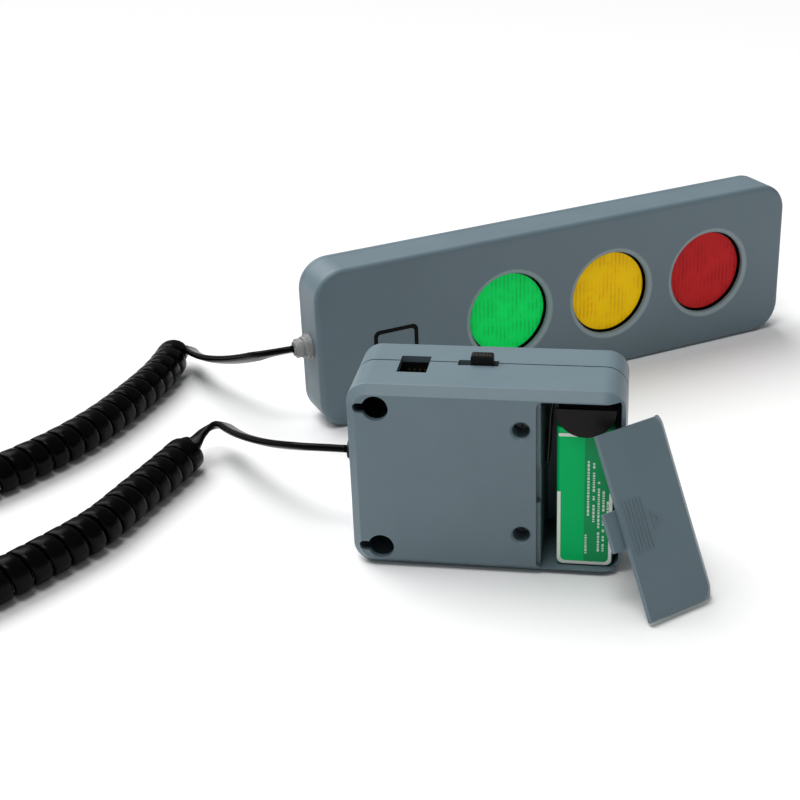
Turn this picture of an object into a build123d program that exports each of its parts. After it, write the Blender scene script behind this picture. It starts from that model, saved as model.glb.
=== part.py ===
"""Round timer: a three-lamp signal bar and a battery control box joined by a curly cord.

Millimetres, +Z up. Both housings stand on the floor at z = 0. The origin is on the floor
under the middle of the two housings and the loose battery door. The control box keeps its
own frame: x across, y from its rear face (0) to its front, z up.
"""
from build123d import *
from math import cos, radians, sin
import os

os.makedirs("parts", exist_ok=True)

# ---- driving dimensions: control box ----
BOX_W = 82.0            # width
BOX_H = 61.0            # height
BOX_D = 34.0            # rear face to front face
BOX_PART = 19.4         # depth of the rear cover, where the two halves meet
BOX_WALL = 2.0
BOX_CORNER = 6.5        # radius of the four long corners
BOX_EDGE = 2.8          # bevel of the rear face's rim, rounding of the front's
BOX_AT = (-7.33, -93.49)  # rear face's middle, on the floor

# ---- battery, PP3 size ----
CELL_W = 16.8           # the standard allows up to 17.5
CELL_D = 26.5
CELL_H = 46.4           # can only, without the snap terminals
CELL_X = BOX_W / 2 - 3.0 - CELL_W  # left side
CELL_Y = 3.4            # narrow face behind the rear face
SNAP_PITCH = 12.7
SNAP_H = 2.1

# ---- battery bay and its door ----
BAY_X = CELL_X - 4.6    # left wall's inner face
BAY_Y = 30.2            # front wall's inner face
BAY_WALL = 1.5
BAY_SIDE = 1.2          # outer wall beside the battery
BAY_CORNER = 3.2
LEDGE = 1.0             # thickness of the ledge under the door's upper edge
DOOR_X = BAY_X - 1.2    # left edge of the door's recess
DOOR_Z = BOX_WALL       # its lower edge, level with the bay floor
DOOR_TOP = 58.0         # its upper edge
DOOR_T = 1.8            # skin
DOOR_RIM = 3.6          # depth of the door's rolled right edge
DOOR_GAP = 0.2
TONGUE_W = 11.5         # latch tongue, along the door
TONGUE_L = 3.8          # latch tongue, out from the door's edge
DOOR_AT = (BOX_W / 2 + 9.6, -25.1)  # lower left corner of the leaning door, in the box's frame
DOOR_YAW = 41.5         # degrees
DOOR_LEAN = 28.0        # degrees

# ---- rear face details ----
KEY_X = -32.0           # round end of the keyholes
KEY_PITCH = 47.0        # one above the other
KEY_R = 4.0
KEY_SLOT_R = 1.6
KEY_SLOT = 5.2          # from the round end's centre to the slot's end centre
CASE_SCREW_X = 11.0
CASE_SCREW_Z = (13.5, 48.5)
HEAD_R = 2.3
SHANK_R = 1.3

# ---- top details ----
SWITCH_X = -3.4
SWITCH_SLOT = 12.2
SWITCH_SLOT_Y = 3.8
KNOB_L = 6.8
KNOB_Y = 3.2
KNOB_UP = 3.4
KNOB_REST = 1.5         # from the slot's right end
SOCKET_X = -22.6
SOCKET_Y = 17.2
SOCKET_L = 9.0
SOCKET_W = 11.6
SOCKET_DEEP = 11.0

# ---- signal bar ----
BAR_L = 198.0
BAR_H = 61.0
BAR_D = 18.0
BAR_PART = 14.4         # depth of the front housing
BAR_WALL = 2.0
BAR_CORNER = 11.0
BAR_EDGE = 2.0
BAR_YAW = 33.8          # degrees, standing askew behind the box
BAR_AT = (-68.8, 87.5)  # front face's left end, in the box's frame
LENS_PITCH = 43.5
LENS_U = [BAR_L - 34.5 - LENS_PITCH * i for i in (2, 1, 0)]
LENS_Z = 30.0
LENS_R = 16.3           # the hole in the face
LENS_GAP = 0.8
LENS_BEVEL = 1.8        # width of the bevel round the hole
LENS_SINK = 3.0         # how far the lens sits behind the face
LIP = 2.0               # how far the lens and its cup reach behind the hole's rim
COLOURS = ("green", "amber", "red")

# ---- cord ----
CORD_D = 4.2            # straight leads, round tube of the flat cord's width
COIL_D = 13.5           # outer diameter of the curly part
COIL_Z = 6.9            # its middle above the floor
EXIT_Z = 30.0           # in the box
BAR_EXIT_Z = 31.0
EXIT_W = 9.0            # depth of the exits behind each rear or front face

FIT = 0.3               # gap between separate pieces
CLEAR = 0.15            # gap of a fit


def box_place(shape):
    """Carries a shape from the box's own frame to the shared one."""
    return Pos(BOX_AT[0], BOX_AT[1], 0) * shape


def bar_place(shape):
    """Carries a shape from the bar's own frame (u, depth, z) to the shared one."""
    spot = Pos(BOX_AT[0] + BAR_AT[0], BOX_AT[1] + BAR_AT[1], 0)
    return spot * Rot(0, 0, BAR_YAW) * shape


def block(x0, x1, y0, y1, z0, z1):
    """A box between two corners."""
    return Pos((x0 + x1) / 2, (y0 + y1) / 2, (z0 + z1) / 2) * Box(x1 - x0, y1 - y0, z1 - z0)


def rod(x, z, y0, y1, radius):
    """A cylinder along Y."""
    return Pos(x, (y0 + y1) / 2, z) * Rot(90, 0, 0) * Cylinder(radius, y1 - y0)


def post(x, y, z0, z1, radius):
    """A cylinder along Z."""
    return Pos(x, y, (z0 + z1) / 2) * Cylinder(radius, z1 - z0)


def rim_slab(x0, x1, z0, z1, corner, y0, y1):
    """A slab with rounded long corners, its faces across Y."""
    slab = Pos((x0 + x1) / 2, (y0 + y1) / 2, (z0 + z1) / 2) * Box(x1 - x0, y1 - y0, z1 - z0)
    return fillet(slab.edges().filter_by(Axis.Y), corner)


def soften(slab, y, radius):
    """Rounds the rim of the face at depth y."""
    rim = [e for e in slab.edges() if abs(e.center().Y - y) < 1e-4]
    return fillet(rim, radius)


def bevelled(slab, y, width):
    """Cuts a flat bevel round the face at depth y and eases both its lines."""
    rim = [e for e in slab.edges() if abs(e.center().Y - y) < 1e-4]
    slab = chamfer(rim, width)
    lines = []
    for line in slab.edges():
        depth = abs(line.center().Y - y)
        if depth < 1e-4 or abs(depth - width) < 1e-4:
            lines.append(line)
    return fillet(lines, 0.6)


def tray(x0, x1, z0, z1, corner, y_face, y_open, wall, edge, finish=soften):
    """A shell closed at y_face and open at y_open."""
    lo, hi = min(y_face, y_open), max(y_face, y_open)
    outer = finish(rim_slab(x0, x1, z0, z1, corner, lo, hi), y_face, edge)
    inward = 1 if y_open > y_face else -1
    floor = y_face + inward * wall
    lo, hi = min(floor, y_open + inward), max(floor, y_open + inward)
    inner = rim_slab(x0 + wall, x1 - wall, z0 + wall, z1 - wall, corner - wall, lo, hi)
    return outer - soften(inner, floor, max(edge - wall, 0.5))


# =============================== control box ===============================
HALF_W = BOX_W / 2
KEY_Z = (BOX_H / 2 - KEY_PITCH / 2, BOX_H / 2 + KEY_PITCH / 2)
PIT = 8.0               # depth of the pits that the case screws sit in


def keyhole(z):
    """A keyhole cutter: round end, slot toward the box's left side."""
    hole = rod(KEY_X, z, -1, BOX_WALL + 1, KEY_R)
    slot = block(KEY_X - KEY_SLOT, KEY_X, -1, BOX_WALL + 1, z - KEY_SLOT_R, z + KEY_SLOT_R)
    return hole + slot + rod(KEY_X - KEY_SLOT, z, -1, BOX_WALL + 1, KEY_SLOT_R)


def top_cuts():
    """The switch slot and socket mouth, shared by both halves."""
    z0, z1 = BOX_H - BOX_WALL - 1, BOX_H + 1
    half = SWITCH_SLOT / 2
    slot_y = SWITCH_SLOT_Y / 2
    slot = block(SWITCH_X - half, SWITCH_X + half, BOX_PART - slot_y, BOX_PART + slot_y, z0, z1)
    sl, sw = SOCKET_L / 2, SOCKET_W / 2
    mouth = block(SOCKET_X - sl, SOCKET_X + sl, SOCKET_Y - sw, SOCKET_Y + sw, z0, z1)
    return slot + mouth


def side_cut():
    """The cord bush's hole in the left side, shared by both halves."""
    return Pos(-HALF_W + 1, BOX_PART, EXIT_Z) * Rot(0, 90, 0) * Cylinder(3.4, 6)


def box_rear_cover():
    """Rear half with the battery bay, keyholes and screw pits."""
    shell = tray(-HALF_W, HALF_W, 0, BOX_H, BOX_CORNER, 0, BOX_PART, BOX_WALL, BOX_EDGE, bevelled)
    low = BOX_WALL + FIT
    side = HALF_W - BAY_SIDE
    bay_side = block(BAY_X - BAY_WALL, BAY_X, 1.6, BAY_Y + BAY_WALL, 1.4, BOX_H - 1.4)
    bay_back = rim_slab(CELL_X, side - FIT, low, BOX_H - low, BAY_CORNER, BAY_Y, BAY_Y + BAY_WALL)
    bay_back += block(BAY_X - BAY_WALL, HALF_W / 2 + 10, BAY_Y, BAY_Y + BAY_WALL, low, BOX_H - low)
    bay_side -= block(0, BOX_W, BOX_PART, BOX_D, -1, low)
    bay_side -= block(0, BOX_W, BOX_PART, BOX_D, BOX_H - low, BOX_H + 9)
    shell += bay_side + bay_back
    for z in CASE_SCREW_Z:
        shell += rod(CASE_SCREW_X, z, 1, BOX_PART, 4.2)
    outline = rim_slab(DOOR_X, HALF_W + 10, DOOR_Z, DOOR_TOP, 2.0, -1, DOOR_T + DOOR_GAP)
    shell -= outline
    shell -= block(HALF_W - 5, HALF_W + 1, -1, DOOR_RIM + DOOR_GAP, DOOR_Z, DOOR_TOP)
    shell -= block(BAY_X, side, 0, BOX_WALL + LEDGE + 0.1, DOOR_Z, DOOR_TOP - 1)
    shell -= rim_slab(BAY_X, side, BOX_WALL, BOX_H - BOX_WALL, BAY_CORNER, BOX_WALL + LEDGE, BAY_Y)
    mid = (DOOR_Z + DOOR_TOP) / 2
    half = TONGUE_W / 2 + FIT
    shell -= block(DOOR_X - TONGUE_L - FIT, BAY_X + 1, BOX_WALL, BOX_WALL + 2.4, mid - half, mid + half)
    for z in CASE_SCREW_Z:
        shell -= rod(CASE_SCREW_X, z, -1, PIT, HEAD_R + FIT) + rod(CASE_SCREW_X, z, 0, BOX_D, SHANK_R + CLEAR)
        shell -= Pos(CASE_SCREW_X, 0.3, z) * Rot(90, 0, 0) * Cone(HEAD_R + FIT, HEAD_R + FIT + 0.7, 0.7)
    for z in KEY_Z:
        shell -= keyhole(z)
    return shell - top_cuts() - side_cut()


def box_front_shell():
    """Front half: screw posts and a grille of slots in front of the sounder."""
    shell = tray(-HALF_W, HALF_W, 0, BOX_H, BOX_CORNER, BOX_D, BOX_PART + CLEAR, BOX_WALL, BOX_EDGE)
    side = HALF_W - BAY_SIDE
    shell -= rim_slab(BAY_X, side, BOX_WALL, BOX_H - BOX_WALL, BAY_CORNER, BOX_PART, BAY_Y + BAY_WALL)
    band = BOX_PART + 0.6
    groove = rim_slab(-HALF_W - 1, HALF_W + 1, -1, BOX_H + 1, BOX_CORNER + 1, BOX_PART - 1, band)
    keep = 0.45
    kept = (keep - HALF_W, HALF_W - keep, keep, BOX_H - keep)
    groove -= rim_slab(*kept, BOX_CORNER - keep, BOX_PART - 2, band + 1)
    shell -= groove
    for z in CASE_SCREW_Z:
        shell += rod(CASE_SCREW_X, z, BOX_PART + CLEAR, BOX_D - 1, 3.4)
        shell -= rod(CASE_SCREW_X, z, 0, BOX_D - 5, SHANK_R + 0.05)
    for i in range(-3, 4):
        reach = (10.5 ** 2 - (3.0 * i) ** 2) ** 0.5
        x = SOUNDER_X + 3.0 * i
        shell -= block(x - 0.7, x + 0.7, BOX_D - 3, BOX_D + 1, SOUNDER_Z - reach, SOUNDER_Z + reach)
    return shell - top_cuts() - side_cut()


SOUNDER_X = -14.0
SOUNDER_Z = 27.0


def box_inside():
    """Board, parts on it, sounder, socket and switch."""
    pieces = {}
    board = block(-37.5, 5.5, 22.6, 24.2, 5.0, 42.0)
    pieces["box_circuit_board"] = board
    pieces["timer_chip"] = block(-34, -26, 19.8, 22.5, 12, 30)
    caps = [rod(-18, z, 12.5, 22.5, 2.6) for z in (12.0, 19.0)]
    pieces["board_capacitors"] = Compound(children=caps)
    pieces["sounder"] = rod(SOUNDER_X, SOUNDER_Z, 24.3, 31.6, 12.0) - rod(SOUNDER_X, SOUNDER_Z, 30.4, 32, 4.0)
    sw = SOCKET_W / 2
    roof = BOX_H - BOX_WALL - 0.2
    deep = roof - SOCKET_DEEP
    case = Box(SOCKET_L + 2.4, SOCKET_W + 2.4, roof - deep + 2)
    body = Pos(SOCKET_X, SOCKET_Y, (deep - 2 + roof) / 2) * case
    body -= Pos(SOCKET_X, SOCKET_Y, (deep + 70) / 2) * Box(SOCKET_L - 0.4, SOCKET_W - 0.4, 70 - deep)
    pieces["top_socket"] = body
    wires = []
    for i in range(4):
        x = SOCKET_X - 2.4 + 1.6 * i
        y = SOCKET_Y + sw - 0.75
        wires.append(block(x - 0.25, x + 0.25, y, y + 0.5, deep + 0.1, roof - 2))
    pieces["socket_contacts"] = Compound(children=wires)
    half = SWITCH_SLOT / 2
    body = Pos(SWITCH_X, BOX_PART, roof - 3.25) * Box(SWITCH_SLOT + 3, 7.2, 6.5)
    body -= Pos(SWITCH_X, BOX_PART, roof + 7.4) * Box(SWITCH_SLOT, SWITCH_SLOT_Y, 20)
    pieces["switch_body"] = body
    knob_x = SWITCH_X + half - KNOB_REST - KNOB_L / 2
    top = BOX_H + KNOB_UP
    foot = roof - 2.3
    knob = Pos(knob_x, BOX_PART, (foot + top) / 2) * Box(KNOB_L, KNOB_Y, top - foot)
    knob = fillet(knob.edges().group_by(Axis.Z)[-1], 1.3)
    for i in range(-2, 3):
        x = knob_x + 1.0 * i
        knob -= block(x - 0.2, x + 0.2, 0, BOX_D, top - 0.35, top + 1)
    pieces["switch_knob"] = knob
    return pieces


def case_screws(where, y_face, length):
    """Pan-head screws along Y, each with a cross recess."""
    screws = []
    for x, z in where:
        one = rod(x, z, y_face, y_face + 1.8, HEAD_R) + rod(x, z, y_face + 1, y_face + length, SHANK_R - 0.05)
        one -= block(x - 1.5, x + 1.5, y_face - 1, y_face + 0.9, z - 0.35, z + 0.35)
        one -= block(x - 0.35, x + 0.35, y_face - 1, y_face + 0.9, z - 1.5, z + 1.5)
        screws.append(one)
    return Compound(children=screws)


def bush(sign, rings):
    """Grooved cord bush around X, its flange outside: sign -1 faces -X."""
    def turn(x0, x1, radius):
        return Pos(sign * (x0 + x1) / 2, 0, 0) * Rot(0, 90, 0) * Cylinder(radius, x1 - x0)
    shape = turn(-BOX_WALL - 1.0, -BOX_WALL - 0.2, 4.4)
    shape += turn(-BOX_WALL - 0.4, 0.3, 3.2) + turn(0.2, 1.6, 4.6)
    for i in range(rings):
        start = 1.4 + 2.2 * i
        shape += turn(start, start + 1.6, 3.9 - 0.4 * i)
        shape += turn(start + 1.4, start + 2.4, 2.9 - 0.2 * i)
    return shape - turn(-4, 12, CORD_D / 2)


BAR_BUSH = 2            # grooves on the bar's bush
BOX_BUSH = 1            # and on the box's


def bush_out(rings):
    """How far a bush stands out of its wall."""
    return 1.6 + 2.2 * rings


# =============================== battery ===============================
CELL_Z = BOX_WALL + 0.4
CELL_MID = (CELL_X + CELL_W / 2, CELL_Y + CELL_D / 2)


def battery():
    """The can, its two snap terminals, the snap cap and its contacts."""
    pieces = {}
    can = block(CELL_X, CELL_X + CELL_W, CELL_Y, CELL_Y + CELL_D, CELL_Z, CELL_Z + CELL_H)
    can = fillet(can.edges().filter_by(Axis.Z), 1.8)
    pieces["battery_block"] = fillet(can.edges().group_by(Axis.Z)[0] + can.edges().group_by(Axis.Z)[-1], 0.5)
    top = CELL_Z + CELL_H
    x, y = CELL_MID
    near, far = y - SNAP_PITCH / 2, y + SNAP_PITCH / 2
    pieces["battery_stud"] = post(x, near, top, top + SNAP_H, 2.8) + post(x, near, top, top + 0.6, 3.6)
    socket = post(x, far, top, top + SNAP_H, 4.1) - post(x, far, top + 0.5, top + 3, 3.0)
    pieces["battery_snap_ring"] = socket
    lift = top + SNAP_H + 0.1
    cap = Pos(x, y, (top + 0.15 + lift + 5.2) / 2) * Box(CELL_W - 0.6, CELL_D - 0.8, lift + 5.05 - top)
    cap = fillet(cap.edges().filter_by(Axis.Z), 4.0)
    cap = fillet(cap.edges().group_by(Axis.Z)[-1], 2.6)
    cap -= post(x, near, top, lift + 1.2, 4.3) + post(x, far, top, lift + 1.2, 4.5)
    apron = Pos(x, CELL_Y - 0.75, lift + 4.2) * Rot(90, 0, 0) * extrude(Ellipse(8.8, 9.0), 0.6, both=True)
    apron -= block(0, BOX_W, 0, BOX_D, lift + 4.2, BOX_H + 9)
    cap += apron + block(x - 6, x + 6, CELL_Y - 0.8, CELL_Y + 2, top + 0.4, lift + 3.6)
    pieces["snap_cap"] = cap
    female = post(x, near, top + 0.7, lift + 1.2, 4.1) - post(x, near, top + 0.6, lift, 2.9)
    male = post(x, far, lift, lift + 1.2, 4.1) + post(x, far, top + 0.7, lift, 2.7)
    pieces["snap_contacts"] = Compound(children=[female, male])
    return pieces


# =============================== battery door ===============================
DOOR_W = HALF_W - DOOR_X - DOOR_GAP
DOOR_H = DOOR_TOP - DOOR_Z - 2 * DOOR_GAP


def door_place(shape):
    """Leans the door on the box's right rear edge, its lower edge on the floor."""
    across = (cos(radians(DOOR_YAW)), sin(radians(DOOR_YAW)), 0)
    lean = sin(radians(DOOR_LEAN))
    along = (-across[1] * lean, across[0] * lean, cos(radians(DOOR_LEAN)))
    lift = DOOR_RIM * lean
    return Plane(origin=(DOOR_AT[0], DOOR_AT[1], lift), x_dir=across, z_dir=along).location * shape


def battery_door():
    """Skin with a rolled right edge, latch tongue, grip ribs and an arrow."""
    door = bevelled(rim_slab(-HALF_W, HALF_W, 0, BOX_H, BOX_CORNER, 0, BOX_D), 0, BOX_EDGE)
    left, low, high = DOOR_X + DOOR_GAP, DOOR_Z + DOOR_GAP, DOOR_TOP - DOOR_GAP
    door &= block(left, HALF_W + 1, -1, DOOR_RIM, low, high)
    door -= block(0, HALF_W - 1.6, DOOR_T, DOOR_RIM + 1, 0, BOX_H)
    door = Pos(-left, 0, -low) * door
    mid, half = DOOR_H / 2, TONGUE_W / 2
    door += block(-TONGUE_L, 1.5, BOX_WALL + 0.3, BOX_WALL + 1.9, mid - half, mid + half)
    door += block(0.3, 1.5, DOOR_T - 0.5, BOX_WALL + 1.9, mid - half, mid + half)
    for i in range(6):
        x = 1.9 + 1.25 * i
        door += block(x - 0.2, x + 0.2, -0.25, 0.5, mid - 7.5, mid + 7.5)
    tip, tail = 13.4, 10.0
    with BuildSketch(Plane.XZ) as mark:
        with Locations((0, mid)):
            Polygon((tail, -2.6), (tip, 0), (tail, 2.6), align=None)
            Polygon((tail + 0.6, -1.6), (tip - 1.2, 0), (tail + 0.6, 1.6), align=None, mode=Mode.SUBTRACT)
    door += extrude(mark.sketch, amount=0.2, both=True)
    return door


def door_pad():
    """Foam pad stuck inside the door to steady the battery."""
    return block(7.5, 20.5, DOOR_T, DOOR_T + 1.0, 14, 40)


# =============================== signal bar ===============================
def bar_front_housing():
    """Face with three lens holes, each with a bevelled rim."""
    shell = tray(0, BAR_L, 0, BAR_H, BAR_CORNER, 0, BAR_PART, BAR_WALL, BAR_EDGE)
    for u in LENS_U:
        shell -= rod(u, LENS_Z, -1, BAR_WALL + 1, LENS_R)
        shell -= Pos(u, 0.45, LENS_Z) * Rot(90, 0, 0) * Cone(LENS_R, LENS_R + LENS_BEVEL, 0.92)
        lip = LENS_R + LIP + 0.6
        shell += rod(u, LENS_Z, BAR_WALL - 0.1, LENS_SINK + 2.2, lip + 1.0) - rod(u, LENS_Z, 0, 6, lip)
    for u, z in BAR_SCREWS:
        shell += rod(u, z, 1, BAR_PART - CLEAR, 3.2)
        shell -= rod(u, z, 4, BAR_D, SHANK_R + 0.05)
    return shell - bar_side_cut()


BAR_SCREWS = [(9.0, 9.0), (9.0, BAR_H - 9.0), (BAR_L - 9.0, 9.0), (BAR_L - 9.0, BAR_H - 9.0)]


def bar_side_cut():
    """Hole for the cord bush in the bar's left end."""
    return Pos(1, EXIT_W, BAR_EXIT_Z) * Rot(0, 90, 0) * Cylinder(3.4, 6)


def bar_rear_cover():
    """Shallow cover with screw pits."""
    cover = tray(0, BAR_L, 0, BAR_H, BAR_CORNER, BAR_D, BAR_PART + CLEAR, BAR_WALL, BAR_EDGE)
    for u, z in BAR_SCREWS:
        cover += rod(u, z, BAR_PART + CLEAR, BAR_D - 1, 3.8)
        cover -= rod(u, z, BAR_D - 2.4, BAR_D + 1, HEAD_R + FIT) + rod(u, z, 0, BAR_D, SHANK_R + CLEAR)
    return cover - bar_side_cut()


def bar_lamps():
    """Lens, light cup and lamp for each colour, and their shared board."""
    pieces = {}
    for u, name in zip(LENS_U, COLOURS):
        lens = rod(u, LENS_Z, LENS_SINK, LENS_SINK + 0.7, LENS_R - LENS_GAP)
        lens += rod(u, LENS_Z, LENS_SINK + 0.4, LENS_SINK + 1.6, LENS_R + LIP)
        pieces["lens_" + name] = lens
        y0, y1 = LENS_SINK + 1.75, 12.0
        cup = rod(u, LENS_Z, y0, y1, LENS_R + LIP - 0.4)
        cup -= Pos(u, (y0 + y1 - 1) / 2, LENS_Z) * Rot(90, 0, 0) * Cone(5.0, LENS_R, y1 - y0 + 1)
        pieces["light_cup_" + name] = cup
        bulb = rod(u, LENS_Z, 7.9, 12.2, 2.5) + Pos(u, 7.9, LENS_Z) * Sphere(2.5)
        pieces["lamp_" + name] = bulb + rod(u, LENS_Z, 11.2, 12.2, 2.9)
    pieces["bar_circuit_board"] = block(LENS_U[0] - 24.5, LENS_U[2] + 24.5, 12.3, 13.3, 14, 46)
    drops = [block(u + 18, u + 24, 13.4, 14.3, 20, 22.4) for u in (LENS_U[0], LENS_U[1])]
    pieces["bar_resistors"] = Compound(children=drops)
    return pieces


def bar_screws():
    """Four screws put in from the rear."""
    screws = []
    for u, z in BAR_SCREWS:
        one = rod(u, z, BAR_D - 2.2, BAR_D - 0.5, HEAD_R) + rod(u, z, 5, BAR_D - 1, SHANK_R - 0.05)
        one -= block(u - 1.5, u + 1.5, BAR_D - 1.3, BAR_D + 1, z - 0.35, z + 0.35)
        one -= block(u - 0.35, u + 0.35, BAR_D - 1.3, BAR_D + 1, z - 1.5, z + 1.5)
        screws.append(one)
    return Compound(children=screws)


# =============================== cord ===============================
def tube(points, diameter, label):
    """Straight runs joined by tangent arcs, swept round; returns the solid and its end point."""
    spots = [Vector(*p) for p in points]
    radii = []
    for a, b, c in zip(spots, spots[1:], spots[2:]):
        turn = radians((b - a).get_angle(c - b))
        radii.append(0.45 * min((b - a).length, (c - b).length) / (sin(turn / 2) / cos(turn / 2)))
    path = FilletPolyline(*spots, radius=radii)
    solid = sweep(Plane(origin=path @ 0, z_dir=path % 0) * Circle(diameter / 2), path=path)
    ratio = solid.volume / (3.14159265 * diameter ** 2 / 4 * path.length)
    bends = [round(r, 1) for r in radii]
    print(label, "length", round(path.length, 1), "radii", bends, "volume", round(ratio, 4))
    return solid


def from_bar(u, w, z):
    """A point of the bar's own frame in the box's frame."""
    c, s = cos(radians(BAR_YAW)), sin(radians(BAR_YAW))
    return (BAR_AT[0] + u * c - w * s, BAR_AT[1] + u * s + w * c, z)


BAR_ROUTE = [
    from_bar(-bush_out(BAR_BUSH), EXIT_W, BAR_EXIT_Z),
    (-88.5, 88.8, 30.0),
    (-98.5, 97.5, 24.0),
    (-110.0, 108.0, 18.0),
    (-121.6, 119.5, 13.2),
    (-130.0, 131.0, 10.0),
    (-133.0, 137.5, 8.8),
    (-136.5, 140.2, 8.0),
    (-139.8, 138.8, 7.3),
    (-139.0, 134.0, COIL_Z),
]
COIL_ROUTE = [
    (-139.0, 134.0, COIL_Z),
    (-139.5, 115.0, COIL_Z),
    (-144.0, 92.0, COIL_Z),
    (-150.0, 70.0, COIL_Z),
    (-160.0, 49.0, COIL_Z),
    (-180.5, 19.3, COIL_Z),
    (-198.1, 8.8, COIL_Z),
    (-224.2, 6.0, COIL_Z),
    (-247.1, -16.3, COIL_Z),
    (-251.3, -48.0, COIL_Z),
    (-234.7, -75.5, COIL_Z),
    (-204.7, -86.9, COIL_Z),
    (-174.3, -77.1, COIL_Z),
    (-157.0, -50.0, COIL_Z),
    (-143.0, -31.0, COIL_Z),
    (-131.5, -12.0, COIL_Z),
    (-124.0, 2.0, COIL_Z),
    (-119.5, 19.0, COIL_Z),
    (-114.5, 37.0, COIL_Z),
    (-110.0, 55.0, COIL_Z),
]
BOX_ROUTE = [
    (-110.0, 55.0, COIL_Z),
    (-109.2, 62.0, 8.0),
    (-106.5, 68.0, 10.0),
    (-101.0, 68.5, 11.8),
    (-95.0, 59.5, 13.8),
    (-86.8, 48.5, 17.2),
    (-74.3, 34.5, 22.6),
    (-61.0, 22.2, 28.6),
    (-53.0, 20.0, 29.8),
    (-HALF_W - bush_out(BOX_BUSH), BOX_PART, EXIT_Z),
]


# =============================== build ===============================
parts = {
    "box_rear_cover": box_place(box_rear_cover()),
    "box_front_shell": box_place(box_front_shell()),
    "box_case_screws": box_place(case_screws([(CASE_SCREW_X, z) for z in CASE_SCREW_Z], PIT - 1.8, 20)),
    "box_cord_bush": box_place(Pos(-HALF_W, BOX_PART, EXIT_Z) * bush(-1, BOX_BUSH)),
    "battery_door": box_place(door_place(battery_door())),
    "door_foam_pad": box_place(door_place(door_pad())),
    "bar_front_housing": bar_place(bar_front_housing()),
    "bar_rear_cover": bar_place(bar_rear_cover()),
    "bar_screws": bar_place(bar_screws()),
    "bar_cord_bush": bar_place(Pos(0, EXIT_W, BAR_EXIT_Z) * bush(-1, BAR_BUSH)),
}
parts.update({name: box_place(shape) for name, shape in box_inside().items()})
parts.update({name: box_place(shape) for name, shape in battery().items()})
parts.update({name: bar_place(shape) for name, shape in bar_lamps().items()})

x, y = CELL_MID
lead_z = CELL_Z + CELL_H + SNAP_H + 1.2
for name, side in (("battery_lead_red", 1.6), ("battery_lead_black", -1.6)):
    route = [
        (CELL_X + 0.3, y + side, lead_z),
        (CELL_X - 1.6, y + side, lead_z),
        (CELL_X - 2.7, y + side, lead_z - 4.0),
        (CELL_X - 2.9, y + side + 0.8, lead_z - 13.0),
        (CELL_X - 3.6, y + side + 0.6, lead_z - 22.0),
    ]
    parts[name] = box_place(tube(route, 1.3, name))
parts["cord_lead_at_bar"] = box_place(tube(BAR_ROUTE, CORD_D, "cord_lead_at_bar"))
parts["cord_coil"] = box_place(tube(COIL_ROUTE, COIL_D, "cord_coil"))
parts["cord_lead_at_box"] = box_place(tube(BOX_ROUTE, CORD_D, "cord_lead_at_box"))

for name, shape in parts.items():
    export_step(shape, f"parts/{name}.step")
rigid = Compound(children=[s for n, s in parts.items() if not n.startswith("cord_")])
print("nodes", len(parts), "box of the rigid pieces", rigid.bounding_box())
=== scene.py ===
import bpy
import math
import random
from mathutils import Matrix, Vector


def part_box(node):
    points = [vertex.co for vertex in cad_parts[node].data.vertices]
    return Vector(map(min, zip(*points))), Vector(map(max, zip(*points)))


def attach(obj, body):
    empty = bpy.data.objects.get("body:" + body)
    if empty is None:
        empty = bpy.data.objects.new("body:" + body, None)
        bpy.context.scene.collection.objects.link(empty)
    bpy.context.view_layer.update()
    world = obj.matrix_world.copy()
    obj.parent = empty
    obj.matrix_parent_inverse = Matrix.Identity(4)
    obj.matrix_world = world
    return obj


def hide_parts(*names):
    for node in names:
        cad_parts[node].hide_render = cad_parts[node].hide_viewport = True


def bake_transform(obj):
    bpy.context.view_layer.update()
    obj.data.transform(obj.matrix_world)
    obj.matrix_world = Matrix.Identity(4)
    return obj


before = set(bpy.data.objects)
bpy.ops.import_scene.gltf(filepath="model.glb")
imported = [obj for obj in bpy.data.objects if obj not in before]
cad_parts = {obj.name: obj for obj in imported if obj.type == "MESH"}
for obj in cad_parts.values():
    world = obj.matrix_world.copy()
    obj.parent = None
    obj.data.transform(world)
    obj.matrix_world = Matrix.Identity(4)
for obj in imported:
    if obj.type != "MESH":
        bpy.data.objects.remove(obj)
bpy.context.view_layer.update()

bpy.ops.object.select_all(action="DESELECT")

# ---------------------------------------------------------------------------
# Housings. Both boxes are moulded in blue-grey ABS with a fine satin spark
# finish, each from two halves held by screws from behind.
# ---------------------------------------------------------------------------
MM = 0.001
BOX_X = -7.33 * MM
BOX_Y = -93.49 * MM
BAR_YAW = math.radians(33.8)
BAR_FROM_BOX = (-68.8, 87.5)
BAR_ORIGIN = Vector((BOX_X + BAR_FROM_BOX[0] * MM, BOX_Y + BAR_FROM_BOX[1] * MM, 0.0))
HOUSING_GREY = (0.123, 0.174, 0.202, 1.0)
HOUSING_PALE = (0.145, 0.201, 0.232, 1.0)
HOUSING_GRAIN = 5200.0
HOUSING_GRAIN_DEPTH = 0.35
GRAIN_BUMP = 0.12 * MM
CLOUD_SCALE = 55.0


def link(tree, a, b):
    tree.links.new(a, b)


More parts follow.
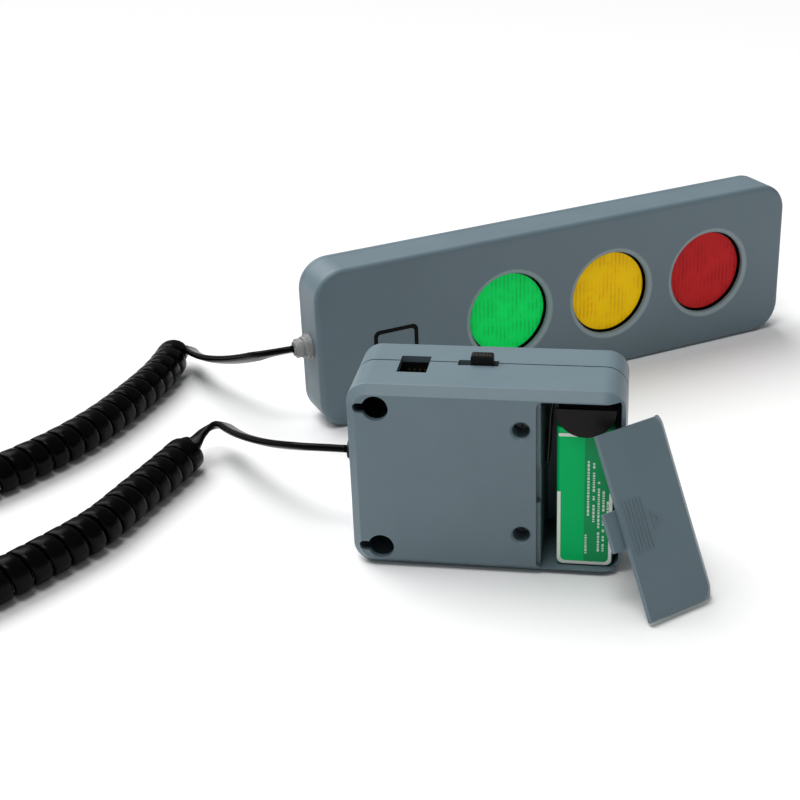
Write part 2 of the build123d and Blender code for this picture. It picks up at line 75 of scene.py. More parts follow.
def spark_grain():
    """Shared mould grain: fine bump and a faint cloudy mask."""
    group = bpy.data.node_groups.new("spark_grain", "ShaderNodeTree")
    for socket, way, kind in (("Scale", "INPUT", "Float"), ("Depth", "INPUT", "Float"),
                              ("Cloud", "OUTPUT", "Float"), ("Normal", "OUTPUT", "Vector")):
        group.interface.new_socket(socket, in_out=way, socket_type="NodeSocket" + kind)
    enter = group.nodes.new("NodeGroupInput")
    leave = group.nodes.new("NodeGroupOutput")
    spot = group.nodes.new("ShaderNodeTexCoord")
    fine = group.nodes.new("ShaderNodeTexNoise")
    fine.inputs["Detail"].default_value = 3.0
    broad = group.nodes.new("ShaderNodeTexNoise")
    broad.inputs["Scale"].default_value = CLOUD_SCALE
    broad.inputs["Detail"].default_value = 4.0
    bump = group.nodes.new("ShaderNodeBump")
    bump.inputs["Distance"].default_value = GRAIN_BUMP
    link(group, spot.outputs["Object"], fine.inputs["Vector"])
    link(group, spot.outputs["Object"], broad.inputs["Vector"])
    link(group, enter.outputs["Scale"], fine.inputs["Scale"])
    link(group, enter.outputs["Depth"], bump.inputs["Strength"])
    link(group, fine.outputs["Fac"], bump.inputs["Height"])
    link(group, broad.outputs["Fac"], leave.inputs["Cloud"])
    link(group, bump.outputs["Normal"], leave.inputs["Normal"])
    return group


GRAIN = spark_grain()


def moulded(name, dark, pale, rough_low, rough_high, scale, depth, coat=0.0, metal=0.0, shine=0.5):
    """A moulded or plated finish: two close shades, uneven gloss and grain."""
    finish = bpy.data.materials.new(name)
    finish.use_nodes = True
    tree = finish.node_tree
    shader = tree.nodes["Principled BSDF"]
    shader.inputs["Metallic"].default_value = metal
    shader.inputs["Specular IOR Level"].default_value = shine
    shader.inputs["Coat Weight"].default_value = coat
    shader.inputs["Coat Roughness"].default_value = 0.15
    grain = tree.nodes.new("ShaderNodeGroup")
    grain.node_tree = GRAIN
    grain.inputs["Scale"].default_value = scale
    grain.inputs["Depth"].default_value = depth
    tint = tree.nodes.new("ShaderNodeMix")
    tint.data_type = "RGBA"
    tint.inputs["A"].default_value = dark
    tint.inputs["B"].default_value = pale
    gloss = tree.nodes.new("ShaderNodeMapRange")
    gloss.inputs["To Min"].default_value = rough_low
    gloss.inputs["To Max"].default_value = rough_high
    link(tree, grain.outputs["Cloud"], tint.inputs["Factor"])
    link(tree, grain.outputs["Cloud"], gloss.inputs["Value"])
    link(tree, tint.outputs["Result"], shader.inputs["Base Color"])
    link(tree, gloss.outputs["Result"], shader.inputs["Roughness"])
    link(tree, grain.outputs["Normal"], shader.inputs["Normal"])
    return finish


def dress(finish, *nodes):
    """Puts one finish on carried-over parts."""
    for node in nodes:
        part = bpy.data.objects[node]
        part.data.materials.clear()
        part.data.materials.append(finish)


housing = moulded("housing_abs", HOUSING_GREY, HOUSING_PALE, 0.34, 0.46,
                  HOUSING_GRAIN, HOUSING_GRAIN_DEPTH, shine=0.3)
dress(housing, "box_rear_cover", "box_front_shell", "battery_door", "bar_rear_cover")

# ---------------------------------------------------------------------------
# Bar front. The same ABS; the bevel round each lens hole carries a painted
# highlight, a paler ring mixed into the colour.
# ---------------------------------------------------------------------------
LENS_FIRST = 76.5 * MM
LENS_PITCH = 43.5 * MM
LENS_MIDDLE = 30.0 * MM
BEVEL_MIDDLE = 17.2 * MM
BEVEL_REACH = 1.1 * MM
BEVEL_PAINTED_HIGHLIGHT = (0.27, 0.34, 0.36, 1.0)


def maths(tree, operation, first, *values):
    """One sum node on a socket; a value is another socket or a plain number."""
    node = tree.nodes.new("ShaderNodeMath")
    node.operation = operation
    link(tree, first, node.inputs[0])
    for i, value in enumerate(values):
        if isinstance(value, float):
            node.inputs[i + 1].default_value = value
        else:
            link(tree, value, node.inputs[i + 1])
    return node.outputs["Value"]


def bar_spot(tree):
    """Position in the bar's own frame: X along it, Y into it, Z up."""
    spot = tree.nodes.new("ShaderNodeTexCoord")
    turn = tree.nodes.new("ShaderNodeMapping")
    turn.vector_type = "TEXTURE"
    turn.inputs["Location"].default_value = BAR_ORIGIN
    turn.inputs["Rotation"].default_value = (0.0, 0.0, BAR_YAW)
    link(tree, spot.outputs["Object"], turn.inputs["Vector"])
    return turn.outputs["Vector"]


bar_front = moulded("bar_front_abs", HOUSING_GREY, HOUSING_PALE, 0.34, 0.46,
                    HOUSING_GRAIN, HOUSING_GRAIN_DEPTH, shine=0.3)
tree = bar_front.node_tree
base = next(n for n in tree.nodes if n.bl_idname == "ShaderNodeMix")
place = tree.nodes.new("ShaderNodeSeparateXYZ")
link(tree, bar_spot(tree), place.inputs["Vector"])
from_first = maths(tree, "SUBTRACT", place.outputs["X"], LENS_FIRST)
across_lens = maths(tree, "WRAP", from_first, LENS_PITCH / 2, -LENS_PITCH / 2)
up_lens = maths(tree, "SUBTRACT", place.outputs["Z"], LENS_MIDDLE)
flat_spot = tree.nodes.new("ShaderNodeCombineXYZ")
radius = tree.nodes.new("ShaderNodeVectorMath")
radius.operation = "LENGTH"
link(tree, across_lens, flat_spot.inputs["X"])
link(tree, up_lens, flat_spot.inputs["Y"])
link(tree, flat_spot.outputs["Vector"], radius.inputs[0])
off_bevel = maths(tree, "ABSOLUTE", maths(tree, "SUBTRACT", radius.outputs["Value"], BEVEL_MIDDLE))
highlight_ring_mask = tree.nodes.new("ShaderNodeMapRange")
highlight_ring_mask.inputs["From Min"].default_value = BEVEL_REACH
highlight_ring_mask.inputs["From Max"].default_value = BEVEL_REACH / 3
link(tree, off_bevel, highlight_ring_mask.inputs["Value"])
by_lenses = maths(tree, "COMPARE", place.outputs["X"], LENS_FIRST + LENS_PITCH, 1.5 * LENS_PITCH)
# Painted highlight: the colour turns paler on the bevel ring round each lens, standing in for light caught
# there.
painted_highlight = tree.nodes.new("ShaderNodeMix")
painted_highlight.data_type = "RGBA"
painted_highlight.inputs["B"].default_value = BEVEL_PAINTED_HIGHLIGHT
link(tree, maths(tree, "MULTIPLY", highlight_ring_mask.outputs["Result"], by_lenses), painted_highlight.inputs["Factor"])
link(tree, base.outputs["Result"], painted_highlight.inputs["A"])
link(tree, painted_highlight.outputs["Result"], tree.nodes["Principled BSDF"].inputs["Base Color"])
dress(bar_front, "bar_front_housing")

# ---------------------------------------------------------------------------
# Lenses. Tinted acrylic discs with upright prisms on the inside, which show
# as faint dashes; each is pushed in from behind its hole. Behind the face its
# rim is painted black as painted shade, and each disc has a faint painted glow.
# ---------------------------------------------------------------------------
PRISM_PITCH = 1.7 * MM
PRISM_DEPTH = 0.2 * MM
PRISM_BREAKS = 160.0
LENS_FACE = 3.0 * MM
PAINTED_SHADE_START = LENS_FACE + 0.2 * MM
RIM_PAINTED_SHADE = (0.001, 0.001, 0.001, 1.0)
WAVE_TURNS = 20.0 / (2 * math.pi)
LENS_TINTS = {
    "green": ((0.0, 0.60, 0.09, 1.0), (0.0, 0.82, 0.13, 1.0)),
    "amber": ((0.78, 0.42, 0.0, 1.0), (0.98, 0.60, 0.0, 1.0)),
    "red": ((0.38, 0.008, 0.010, 1.0), (0.52, 0.014, 0.016, 1.0)),
}


def prism_lens(name, deep, bright):
    """Tinted acrylic with upright prism lines broken into short dashes."""
    finish = bpy.data.materials.new(name)
    finish.use_nodes = True
    tree = finish.node_tree
    shader = tree.nodes["Principled BSDF"]
    shader.inputs["Roughness"].default_value = 0.22
    shader.inputs["Specular IOR Level"].default_value = 0.08
    # Painted glow: each lens gives off its own tint as faint light, though no lamp behind it is lit.
    shader.inputs["Emission Strength"].default_value = 0.1
    spot = bar_spot(tree)
    lines = tree.nodes.new("ShaderNodeTexWave")
    lines.bands_direction = "X"
    lines.inputs["Scale"].default_value = 1 / (WAVE_TURNS * PRISM_PITCH)
    lines.inputs["Distortion"].default_value = 0.0
    patches = tree.nodes.new("ShaderNodeTexNoise")
    patches.inputs["Scale"].default_value = PRISM_BREAKS
    patches.inputs["Detail"].default_value = 2.0
    sharper = tree.nodes.new("ShaderNodeMapRange")
    sharper.inputs["From Min"].default_value = 0.42
    sharper.inputs["From Max"].default_value = 0.62
    tint = tree.nodes.new("ShaderNodeMix")
    tint.data_type = "RGBA"
    tint.inputs["A"].default_value = bright
    tint.inputs["B"].default_value = deep
    bump = tree.nodes.new("ShaderNodeBump")
    bump.inputs["Strength"].default_value = 0.25
    bump.inputs["Distance"].default_value = PRISM_DEPTH
    place = tree.nodes.new("ShaderNodeSeparateXYZ")
    # Painted shade: the lens deeper than its face is coloured black, standing in for the shade in the gap
    # round the disc.
    painted_shade_rim = tree.nodes.new("ShaderNodeMix")
    painted_shade_rim.data_type = "RGBA"
    painted_shade_rim.inputs["B"].default_value = RIM_PAINTED_SHADE
    link(tree, spot, lines.inputs["Vector"])
    link(tree, spot, patches.inputs["Vector"])
    link(tree, spot, place.inputs["Vector"])
    link(tree, patches.outputs["Fac"], sharper.inputs["Value"])
    dashes = maths(tree, "MULTIPLY", lines.outputs["Fac"], sharper.outputs["Result"])
    link(tree, dashes, tint.inputs["Factor"])
    link(tree, maths(tree, "GREATER_THAN", place.outputs["Y"], PAINTED_SHADE_START), painted_shade_rim.inputs["Factor"])
    link(tree, tint.outputs["Result"], painted_shade_rim.inputs["A"])
    link(tree, painted_shade_rim.outputs["Result"], shader.inputs["Base Color"])
    link(tree, painted_shade_rim.outputs["Result"], shader.inputs["Emission Color"])
    link(tree, lines.outputs["Fac"], bump.inputs["Height"])
    link(tree, bump.outputs["Normal"], shader.inputs["Normal"])
    return finish


for colour, (deep, bright) in LENS_TINTS.items():
    dress(prism_lens("lens_acrylic_" + colour, deep, bright), "lens_" + colour)

# ---------------------------------------------------------------------------
# Printed mark. A plain rounded outline, pad-printed in black on the left part
# of the bar's face.
# ---------------------------------------------------------------------------
MARK_LEFT = 21.4 * MM
MARK_RIGHT = 38.8 * MM
MARK_TOP = 35.1 * MM
MARK_FOOT = 16.0 * MM
MARK_LINE = 1.5 * MM
MARK_ROUND = 2.2 * MM
MARK_ROUND_INSIDE = MARK_ROUND - 0.9 * MM
MARK_THICK = 0.06 * MM
WELD = 1e-7


def rounded_outline(left, right, low, high, radius, steps=6):
    """Corner points of a rounded rectangle, anticlockwise."""
    points = []
    centres = ((right - radius, high - radius), (left + radius, high - radius),
               (left + radius, low + radius), (right - radius, low + radius))
    for quarter, (cx, cy) in enumerate(centres):
        for i in range(steps + 1):
            angle = math.radians(90 * (quarter + i / steps))
            points.append((cx + radius * math.cos(angle), cy + radius * math.sin(angle)))
    return points


def flat_print(name, outlines, place, thick):
    """A filled flat outline raised by its ink's thickness, as a mesh in place."""
    curve = bpy.data.curves.new(name, "CURVE")
    curve.dimensions = "2D"
    curve.fill_mode = "BOTH"
    curve.extrude = thick / 2
    for points in outlines:
        spline = curve.splines.new("POLY")
        spline.points.add(len(points) - 1)
        for spot, (px, py) in zip(spline.points, points):
            spot.co = (px, py, 0.0, 1.0)
        spline.use_cyclic_u = True
    flat = bpy.data.objects.new(name, curve)
    bpy.context.collection.objects.link(flat)
    bpy.ops.object.select_all(action="DESELECT")
    flat.select_set(True)
    bpy.context.view_layer.objects.active = flat
    bpy.ops.object.convert(target="MESH")
    done = bpy.context.view_layer.objects.active
    done.name = name
    bpy.ops.object.mode_set(mode="EDIT")
    bpy.ops.mesh.select_all(action="SELECT")
    bpy.ops.mesh.remove_doubles(threshold=WELD)
    bpy.ops.mesh.normals_make_consistent(inside=False)
    bpy.ops.object.mode_set(mode="OBJECT")
    done.data.transform(place)
    bpy.ops.object.select_all(action="DESELECT")
    return done


upright = Matrix.Rotation(math.radians(90), 4, "X")
bar_place = Matrix.Translation(BAR_ORIGIN) @ Matrix.Rotation(BAR_YAW, 4, "Z")
outer = rounded_outline(MARK_LEFT, MARK_RIGHT, MARK_FOOT, MARK_TOP, MARK_ROUND)
inner = rounded_outline(MARK_LEFT + MARK_LINE, MARK_RIGHT - MARK_LINE, MARK_FOOT + MARK_LINE,
                        MARK_TOP - MARK_LINE, MARK_ROUND_INSIDE)
proud = Matrix.Translation((0.0, -MARK_THICK / 2, 0.0))
mark = flat_print("bar_printed_mark", (outer, inner), bar_place @ proud @ upright, MARK_THICK)
ink = moulded("black_ink", (0.001, 0.001, 0.001, 1), (0.003, 0.003, 0.003, 1),
              0.5, 0.65, 2500.0, 0.1, shine=0.1)
mark.data.materials.append(ink)
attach(mark, "timer")

# ---------------------------------------------------------------------------
# Small plastics and metals: black switch, socket and snap cap, zinc screws,
# nickel contacts, sleeved capacitors and green circuit boards.
# ---------------------------------------------------------------------------
black = moulded("black_plastic", (0.004, 0.004, 0.004, 1), (0.010, 0.009, 0.009, 1),
                0.35, 0.55, 3800.0, 0.3, shine=0.2)
dress(black, "switch_body", "switch_knob", "top_socket", "timer_chip", "bar_resistors")
vinyl = moulded("soft_black_vinyl", (0.004, 0.003, 0.003, 1), (0.012, 0.009, 0.009, 1),
                0.3, 0.55, 1500.0, 0.5, shine=0.14)
dress(vinyl, "snap_cap")
zinc = moulded("zinc_plate", (0.12, 0.125, 0.13, 1), (0.30, 0.30, 0.31, 1), 0.28, 0.5, 2600.0, 0.2, metal=1.0)
dress(zinc, "box_case_screws", "bar_screws")
nickel = moulded("nickel_plate", (0.50, 0.49, 0.46, 1), (0.66, 0.65, 0.61, 1),
                 0.16, 0.34, 2000.0, 0.1, metal=1.0)
dress(nickel, "battery_stud", "battery_snap_ring", "snap_contacts")
brass = moulded("bright_brass", (0.58, 0.40, 0.14, 1), (0.78, 0.58, 0.24, 1),
                0.2, 0.4, 2000.0, 0.1, metal=1.0)
dress(brass, "sounder", "socket_contacts")
board = moulded("board_green", (0.01, 0.10, 0.04, 1), (0.02, 0.16, 0.06, 1), 0.25, 0.4, 900.0, 0.15)
dress(board, "box_circuit_board", "bar_circuit_board")
sleeve = moulded("capacitor_sleeve", (0.01, 0.012, 0.06, 1), (0.02, 0.025, 0.11, 1), 0.25, 0.4, 2000.0, 0.05)
dress(sleeve, "board_capacitors")
white = moulded("white_reflector", (0.72, 0.72, 0.70, 1), (0.84, 0.84, 0.82, 1), 0.2, 0.35, 2500.0, 0.1)
dress(white, "light_cup_green", "light_cup_amber", "light_cup_red", "lamp_green", "lamp_amber", "lamp_red")
foam = moulded("black_foam", (0.02, 0.02, 0.02, 1), (0.05, 0.05, 0.05, 1), 0.85, 1.0, 1200.0, 1.0)
dress(foam, "door_foam_pad")
cloudy = moulded("cloudy_bush", (0.30, 0.31, 0.31, 1), (0.80, 0.80, 0.78, 1), 0.08, 0.25, 700.0, 0.8)
cloudy.node_tree.nodes["Principled BSDF"].inputs["Transmission Weight"].default_value = 0.55
dress(cloudy, "bar_cord_bush")
bush_black = moulded("bush_vinyl", (0.008, 0.008, 0.009, 1), (0.02, 0.02, 0.02, 1),
                     0.25, 0.42, 2500.0, 0.15, shine=0.2)
dress(bush_black, "box_cord_bush")

# ---------------------------------------------------------------------------
# Battery label. A printed sleeve round the PP3 can: bright green at the left,
# deeper green at the right with rows of small print as plain dashes, and a
# white border round the lower half.
# ---------------------------------------------------------------------------
cell_low, cell_high = (Vector(corner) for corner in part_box("battery_block"))
CELL_WIDTH = cell_high.x - cell_low.x
LABEL_SPLIT = cell_low.x + 0.49 * CELL_WIDTH
LABEL_THICK = 0.05 * MM
label = moulded("battery_sleeve", (0.0, 0.50, 0.13, 1), (0.0, 0.56, 0.15, 1),
                0.25, 0.4, 900.0, 0.05, shine=0.08)
tree = label.node_tree
shader = tree.nodes["Principled BSDF"]
spot = tree.nodes.new("ShaderNodeTexCoord")
parts_of = tree.nodes.new("ShaderNodeSeparateXYZ")
panel = tree.nodes.new("ShaderNodeMix")
panel.data_type = "RGBA"
panel.inputs["B"].default_value = (0.012, 0.32, 0.105, 1)
tint = next(n for n in tree.nodes if n.bl_idname == "ShaderNodeMix" and n != panel)
link(tree, spot.outputs["Object"], parts_of.inputs["Vector"])
link(tree, maths(tree, "GREATER_THAN", parts_of.outputs["X"], LABEL_SPLIT), panel.inputs["Factor"])
link(tree, tint.outputs["Result"], panel.inputs["A"])
link(tree, panel.outputs["Result"], shader.inputs["Base Color"])
dress(label, "battery_block")

front = Matrix.Translation((0.0, cell_low.y - LABEL_THICK / 2, 0.0)) @ upright
BORDER = 1.0 * MM
BORDER_EDGE = 0.25 * MM
BORDER_ROUND = 2.0 * MM
CORNER_REACH = 6.0 * MM
border_top = cell_low.z + 25.0 * MM
past_top = border_top + 9 * MM
inset = BORDER_EDGE + BORDER
outside = rounded_outline(cell_low.x + BORDER_EDGE, cell_high.x - BORDER_EDGE,
                          cell_low.z + BORDER_EDGE, past_top, BORDER_ROUND)
inside = rounded_outline(cell_low.x + inset, cell_high.x - inset,
                         cell_low.z + inset, past_top, BORDER_ROUND - 0.5 * MM)
low_outside = [p for p in outside if p[1] < cell_low.z + CORNER_REACH]
low_inside = [p for p in inside if p[1] < cell_low.z + CORNER_REACH]
ring = [(low_outside[0][0], border_top)] + low_outside + [(low_outside[-1][0], border_top)]
ring += [(low_inside[-1][0], border_top)] + low_inside[::-1] + [(low_inside[0][0], border_top)]
# A thin white band across the can, 2 to 3 mm below its top, in the border's white.
band_low, band_high = cell_high.z - 3.0 * MM, cell_high.z - 2.0 * MM
left_end, right_end = cell_low.x + 0.6 * MM, cell_high.x - 0.6 * MM
band = [(left_end, band_low), (right_end, band_low), (right_end, band_high), (left_end, band_high)]
border = flat_print("battery_label_border", (ring, band), front, LABEL_THICK)
paper = moulded("label_white", (0.72, 0.76, 0.72, 1), (0.84, 0.86, 0.84, 1), 0.25, 0.35, 900.0, 0.05)
border.data.materials.append(paper)
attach(border, "battery")

random.seed(7)
dashes = []
DASH_WIDE = 0.62 * MM
DASH_GAP = 0.3 * MM
DASH_CHANCE = 0.88
ROWS = ((8.5, 4.0, 10.5), (9.1, 16.0, 35.0), (10.7, 15.0, 35.0), (12.2, 4.0, 11.0), (12.2, 13.0, 29.0),
        (13.6, 5.0, 12.0), (13.6, 14.0, 26.0), (14.9, 14.0, 22.0))
for aside, start, stop in ROWS:
    column = cell_low.x + aside * MM
    height = cell_low.z + start * MM
    while height < cell_low.z + stop * MM:
        run = random.uniform(0.35, 1.1) * MM
        if random.random() < DASH_CHANCE:
            far, top = column + DASH_WIDE, height + run
            dashes.append([(column, height), (far, height), (far, top), (column, top)])
        height += run + DASH_GAP
print_rows = flat_print("battery_label_rows", dashes, front, LABEL_THICK)
small_print = moulded("label_small_print", (0.62, 0.80, 0.68, 1), (0.76, 0.88, 0.80, 1),
                      0.4, 0.5, 900.0, 0.05, shine=0.15)
print_rows.data.materials.append(small_print)
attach(print_rows, "battery")

# ---------------------------------------------------------------------------
# Battery leads. Two thin vinyl wires from the snap cap down the side of the
# bay.
# ---------------------------------------------------------------------------
LEAD_D = 1.3 * MM
LEAD_ASIDE = 1.6 * MM
LEAD_ROUTE = ((0.3, 0.0, 0.0), (-1.6, 0.0, 0.0), (-2.7, 0.0, -4.0), (-2.9, 0.8, -12.0), (-3.6, 0.6, -21.5))
lead_red = moulded("red_wire", (0.32, 0.006, 0.006, 1), (0.5, 0.012, 0.012, 1), 0.25, 0.4, 2500.0, 0.1)
lead_black = moulded("black_wire", (0.006, 0.006, 0.006, 1), (0.014, 0.014, 0.014, 1), 0.25, 0.4, 2500.0, 0.1)
for name, finish, aside in (("battery_lead_red", lead_red, LEAD_ASIDE),
                            ("battery_lead_black", lead_black, -LEAD_ASIDE)):
    lead_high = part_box(name)[1]
    middle = cell_low.y + (cell_high.y - cell_low.y) / 2 + aside
    curve = bpy.data.curves.new(name + "_wire", "CURVE")
    curve.dimensions = "3D"
    curve.bevel_depth = LEAD_D / 2
    curve.bevel_resolution = 3
    curve.use_fill_caps = True
    spline = curve.splines.new("NURBS")
    top = lead_high[2] - LEAD_D / 2
    left = cell_low.x
    spline.points.add(len(LEAD_ROUTE) - 1)
    for spot, (dx, dy, dz) in zip(spline.points, LEAD_ROUTE):
        spot.co = (left + dx * MM, middle + dy * MM, top + dz * MM, 1.0)
    spline.order_u = 3
    spline.use_endpoint_u = True
    wire = bpy.data.objects.new(name + "_wire", curve)
    bpy.context.collection.objects.link(wire)
    bpy.ops.object.select_all(action="DESELECT")
    wire.select_set(True)
    bpy.context.view_layer.objects.active = wire
    bpy.ops.object.convert(target="MESH")
    wire = bpy.context.view_layer.objects.active
    bpy.ops.object.shade_smooth()
    wire.data.materials.clear()
    wire.data.materials.append(finish)
    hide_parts(name)
    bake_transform(wire)
    bpy.ops.object.select_all(action="DESELECT")

# ---------------------------------------------------------------------------
# Cord. One flat vinyl cord from the bar to the box: a lead at each end, tipped
# towards its edge, and a tight curl between. Bushes hold it in both housings.
# ---------------------------------------------------------------------------
CORD_WIDE = 6.6 * MM
CORD_THICK = 2.4 * MM
CURL_OUTER = 13.5 * MM
CURL_PITCH = 7.2 * MM
CURL_Z = 6.9
STEPS_PER_TURN = 24
LEAD_STEP = 1.2 * MM
LEAD_TIP = 0.55


def at_bar(u, depth, z):
    """A point of the bar, in millimetres from its own left front corner."""
    c, s = math.cos(BAR_YAW), math.sin(BAR_YAW)
    return (BAR_FROM_BOX[0] + u * c - depth * s, BAR_FROM_BOX[1] + u * s + depth * c, z)


bar_route = [
    at_bar(-6.0, 9.0, 31.0), (-88.5, 88.8, 30.0), (-98.5, 97.5, 24.0), (-110.0, 108.0, 18.0),
    (-121.6, 119.5, 13.2), (-130.0, 131.0, 10.0), (-133.0, 137.5, 8.8), (-136.5, 140.2, 8.0),
    (-139.8, 138.8, 7.3),
]
curl_route = [
    (-139.0, 134.0, CURL_Z), (-139.5, 115.0, CURL_Z), (-144.0, 92.0, CURL_Z), (-150.0, 70.0, CURL_Z),
    (-160.0, 49.0, CURL_Z), (-180.5, 19.3, CURL_Z), (-198.1, 8.8, CURL_Z), (-224.2, 6.0, CURL_Z),
    (-247.1, -16.3, CURL_Z), (-251.3, -48.0, CURL_Z), (-234.7, -75.5, CURL_Z), (-204.7, -86.9, CURL_Z),
    (-174.3, -77.1, CURL_Z), (-157.0, -50.0, CURL_Z), (-143.0, -31.0, CURL_Z), (-131.5, -12.0, CURL_Z),
    (-124.0, 2.0, CURL_Z), (-119.5, 19.0, CURL_Z), (-114.5, 37.0, CURL_Z), (-110.0, 55.0, CURL_Z),
]
box_route = [
    (-109.2, 62.0, 8.0), (-106.5, 68.0, 10.0), (-101.0, 68.5, 11.8), (-95.0, 59.5, 13.8),
    (-86.8, 48.5, 17.2), (-74.3, 34.5, 22.6), (-61.0, 22.2, 28.6),
    (-53.0, 20.0, 29.8), (-44.8, 19.4, 30.0),
]
stops = [Vector((BOX_X + px * MM, BOX_Y + py * MM, pz * MM))
         for px, py, pz in bar_route + curl_route + box_route]
curve = bpy.data.curves.new("cord_route", "CURVE")
curve.dimensions = "3D"
curve.resolution_u = 32
spline = curve.splines.new("NURBS")
spline.points.add(len(stops) - 1)
for spot, stop in zip(spline.points, stops):
    spot.co = (*stop, 1.0)
spline.order_u = 3
spline.use_endpoint_u = True
guide = bpy.data.objects.new("cord_route", curve)
drawn = bpy.data.meshes.new_from_object(guide)
line = [vertex.co.copy() for vertex in drawn.vertices]
bpy.data.objects.remove(guide)
bpy.data.curves.remove(curve)
bpy.data.meshes.remove(drawn)

run = [0.0]
for a, b in zip(line, line[1:]):
    run.append(run[-1] + (b - a).length)


def along(distance):
    """Point and direction of the route at a distance from the bar."""
    lo, hi = 0, len(run) - 1
    while hi - lo > 1:
        mid = (lo + hi) // 2
        if run[mid] <= distance:
            lo = mid
        else:
            hi = mid
    share = (distance - run[lo]) / max(run[hi] - run[lo], 1e-12)
    return line[lo].lerp(line[hi], share), (line[hi] - line[lo]).normalized()


def nearest(stop):
    """How far along the route a stop lies."""
    return run[min(range(len(line)), key=lambda i: (line[i] - stop).length)]


CURL_OVERRUN = 4.0 * MM
curl_start = nearest(stops[len(bar_route)]) - CURL_OVERRUN
curl_end = nearest(stops[len(bar_route) + len(curl_route) - 1]) + CURL_OVERRUN
turns = round((curl_end - curl_start) / CURL_PITCH)
curl_radius = (CURL_OUTER - CORD_THICK) / 2
ease = 5.0 * MM
TIP_EASE = 6.0 * MM


def smooth(value):
    value = min(max(value, 0.0), 1.0)
    return value * value * (3 - 2 * value)


places = []
distance = 0.0
while distance < curl_start:
    places.append(distance)
    distance += LEAD_STEP
count = turns * STEPS_PER_TURN
for i in range(count + 1):
    places.append(curl_start + (curl_end - curl_start) * i / count)
distance = curl_end + LEAD_STEP
while distance < run[-1] - 0.4 * LEAD_STEP:
    places.append(distance)
    distance += LEAD_STEP
places.append(run[-1])

centres = []
forward = []
share_curl = []
_, heading = along(0.0)
side = heading.cross(Vector((0, 0, 1))).normalized()
for distance in places:
    point, direction = along(distance)
    side = (side - direction * side.dot(direction)).normalized()
    over = direction.cross(side)
    curled = smooth((distance - curl_start) / ease) * smooth((curl_end - distance) / ease)
    angle = 2 * math.pi * turns * (distance - curl_start) / (curl_end - curl_start)
    offset = side * math.cos(angle) + over * math.sin(angle)
    centres.append(point + offset * curl_radius * curled)
    forward.append(direction)
    share_curl.append(curled)

SECTION = [(1.0, 0.0), (0.95, 0.52), (0.80, 0.90), (0.40, 1.0), (-0.40, 1.0), (-0.80, 0.90), (-0.95, 0.52)]
SECTION += [(-wide, -thick) for wide, thick in SECTION]
vertices = []
for i, centre in enumerate(centres):
    before = centres[max(i - 1, 0)]
    after = centres[min(i + 1, len(centres) - 1)]
    tangent = (after - before).normalized()
    level = tangent.cross(Vector((0, 0, 1))).normalized()
    off_curl = max(curl_start - places[i], places[i] - curl_end)
    tip = LEAD_TIP * smooth(off_curl / TIP_EASE)
    level = (level - Vector((0, 0, math.copysign(tip, level.y)))).normalized()
    if i and level.dot(wide_way) < 0:
        level = -level
    axis = forward[i]
    if i and axis.dot(wide_way) < 0 and share_curl[i] < 0.02:
        axis = -axis
    wide_way = level.lerp(axis, smooth(share_curl[i] * 1.6))
    wide_way = (wide_way - tangent * wide_way.dot(tangent)).normalized()
    thin_way = tangent.cross(wide_way)
    for wide, thick in SECTION:
        vertices.append(centre + wide_way * wide * CORD_WIDE / 2 + thin_way * thick * CORD_THICK / 2)
n = len(SECTION)
faces = []
for i in range(len(centres) - 1):
    for j in range(n):
        k = (j + 1) % n
        faces.append((i * n + j, i * n + k, (i + 1) * n + k, (i + 1) * n + j))
faces.append(tuple(range(n - 1, -1, -1)))
faces.append(tuple((len(centres) - 1) * n + j for j in range(n)))
mesh = bpy.data.meshes.new("flat_cord")
mesh.from_pydata(vertices, [], faces)
mesh.validate()
cord = bpy.data.objects.new("flat_cord", mesh)
bpy.context.collection.objects.link(cord)
bpy.ops.object.select_all(action="DESELECT")
cord.select_set(True)
bpy.context.view_layer.objects.active = cord
bpy.ops.object.mode_set(mode="EDIT")
bpy.ops.mesh.select_all(action="SELECT")
bpy.ops.mesh.normals_make_consistent(inside=False)
bpy.ops.object.mode_set(mode="OBJECT")
bpy.ops.object.shade_smooth()
bpy.ops.object.select_all(action="DESELECT")
cord_vinyl = moulded("cord_vinyl", (0.0008, 0.0008, 0.0009, 1), (0.002, 0.002, 0.002, 1),
                     0.18, 0.34, 900.0, 0.12, shine=0.06)
mesh.materials.append(cord_vinyl)
cord_length = sum((b - a).length for a, b in zip(centres, centres[1:]))
print("cord length", round(cord_length, 3), "turns", turns)
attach(cord, "timer")
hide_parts("cord_lead_at_bar", "cord_coil", "cord_lead_at_box")

# ---------------------------------------------------------------------------
# Studio: white table top, one very broad soft light from high on the left,
# a small one nearly overhead that catches the bevels, and a weak even surround.
# ---------------------------------------------------------------------------
TABLE_SIZE = 6.0
TABLE_WHITE = (0.9, 0.9, 0.9, 1)
SURROUND_STRENGTH = 0.22
KEY_FROM = Vector((-0.52, 0.34, 0.84))
EDGE_AT = Vector((-0.12, -0.33, 0.98))
bpy.ops.mesh.primitive_plane_add(size=TABLE_SIZE, location=(0, 0, 0))
table_top = bpy.context.object
table_top.name = "table_top"
paper_white = bpy.data.materials.new("table_white")
paper_white.use_nodes = True
shader = paper_white.node_tree.nodes["Principled BSDF"]
shader.inputs["Base Color"].default_value = TABLE_WHITE
shader.inputs["Roughness"].default_value = 0.7
table_top.data.materials.append(paper_white)

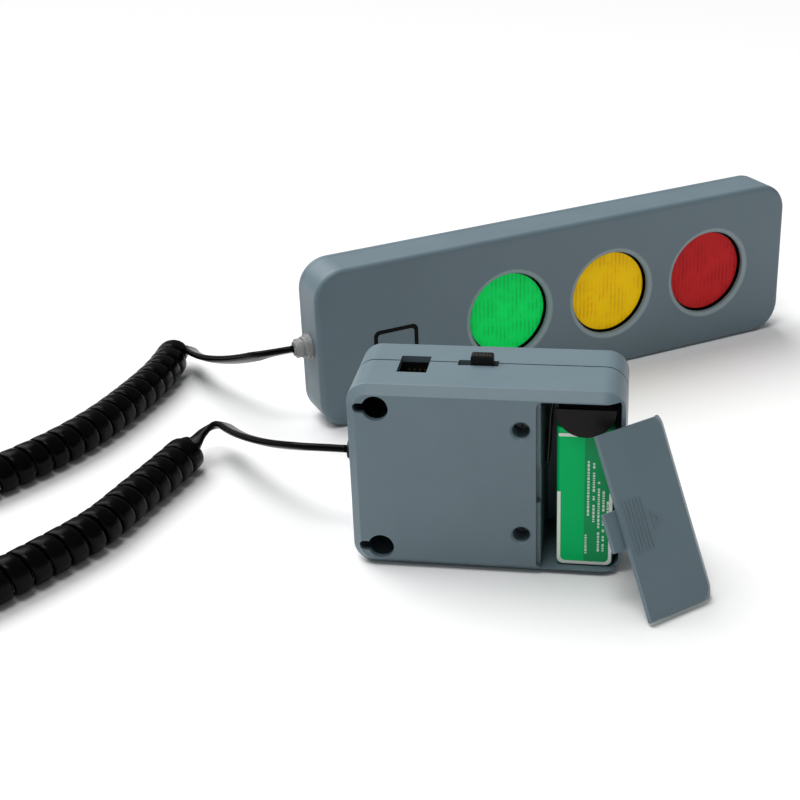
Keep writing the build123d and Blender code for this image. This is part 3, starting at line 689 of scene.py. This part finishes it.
world = bpy.data.worlds.new("surround")
bpy.context.scene.world = world
world.use_nodes = True
world.node_tree.nodes["Background"].inputs["Color"].default_value = (1, 1, 1, 1)
world.node_tree.nodes["Background"].inputs["Strength"].default_value = SURROUND_STRENGTH

sun = bpy.data.lights.new("key_light", "SUN")
sun.energy = 3.1
sun.angle = math.radians(56)
key_light = bpy.data.objects.new("key_light", sun)
key_light.rotation_euler = KEY_FROM.to_track_quat("Z", "Y").to_euler()
bpy.context.collection.objects.link(key_light)

strip = bpy.data.lights.new("edge_light", "AREA")
strip.size = 0.35
strip.energy = 3.6
edge_light = bpy.data.objects.new("edge_light", strip)
edge_light.location = EDGE_AT
aim = Vector((BOX_X, BOX_Y, 0.06))
edge_light.rotation_euler = (EDGE_AT - aim).to_track_quat("Z", "Y").to_euler()
bpy.context.collection.objects.link(edge_light)

CAMERA_AT = Vector((42.89, -497.41, 255.19)) * MM
CAMERA_DOWN = math.radians(25.69)
CAMERA_YAW = math.radians(-11.53)
CAMERA_ROLL = math.radians(-2.88)
SENSOR_WIDE = 36.0
CAMERA_LENS = 70.25
CAMERA_SHIFT = 0.0335
flat = math.cos(CAMERA_DOWN)
look = Vector((math.sin(CAMERA_YAW) * flat, math.cos(CAMERA_YAW) * flat, -math.sin(CAMERA_DOWN)))
across = Vector((math.cos(CAMERA_YAW), -math.sin(CAMERA_YAW), 0))
above = across.cross(look)
right = across * math.cos(CAMERA_ROLL) + above * math.sin(CAMERA_ROLL)
up = above * math.cos(CAMERA_ROLL) - across * math.sin(CAMERA_ROLL)
lens = bpy.data.cameras.new("camera")
lens.sensor_width = SENSOR_WIDE
lens.lens = CAMERA_LENS
lens.shift_x = CAMERA_SHIFT
lens.clip_start = 0.01
camera = bpy.data.objects.new("camera", lens)
camera.location = CAMERA_AT
camera.rotation_euler = Matrix((right, up, -look)).transposed().to_euler()
bpy.context.collection.objects.link(camera)
bpy.context.scene.camera = camera
bpy.context.scene.view_settings.view_transform = "Standard"
